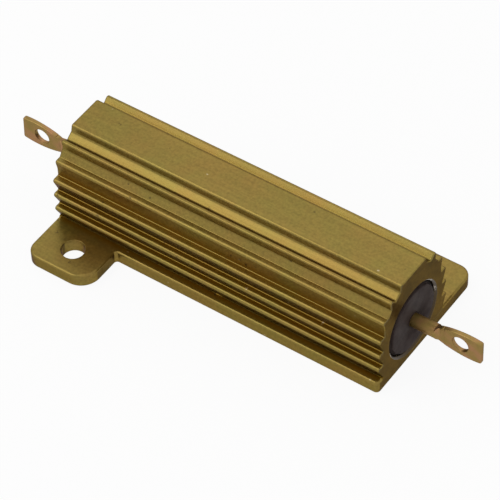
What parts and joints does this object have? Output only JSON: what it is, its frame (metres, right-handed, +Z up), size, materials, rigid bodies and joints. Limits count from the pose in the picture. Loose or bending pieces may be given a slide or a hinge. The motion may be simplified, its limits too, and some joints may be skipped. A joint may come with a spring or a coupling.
{
  "type": "chassis mount resistor",
  "caption": "Wirewound power resistor moulded into a finned gold-anodised aluminium housing, with screw feet on opposite corners and a pierced lug terminal at each end.",
  "frame": {"origin": "middle of the mounting face, halfway between the housing's two ends and its two long sides", "axes": "+X along the housing, towards the end whose foot is on the +Y side; +Y across the housing; +Z up from the mounting face to the land on top"},
  "size_m": [0.0706, 0.0288, 0.0153],
  "materials": {
    "anodised_aluminium": "satin gold anodised",
    "moulding_compound": "matt moulded compound",
    "steatite": "fired ceramic",
    "resistance_alloy": "drawn alloy ribbon",
    "plated_steel": "plated",
    "terminal_brass": "rolled"
  },
  "bodies": {
    "root": {"housing": "anodised_aluminium", "moulding": "moulding_compound", "ceramic_core": "steatite", "resistance_winding": "resistance_alloy", "end_cap_left": "plated_steel", "end_cap_right": "plated_steel", "terminal_left": "terminal_brass", "terminal_right": "terminal_brass"}
  },
  "joints": []
}
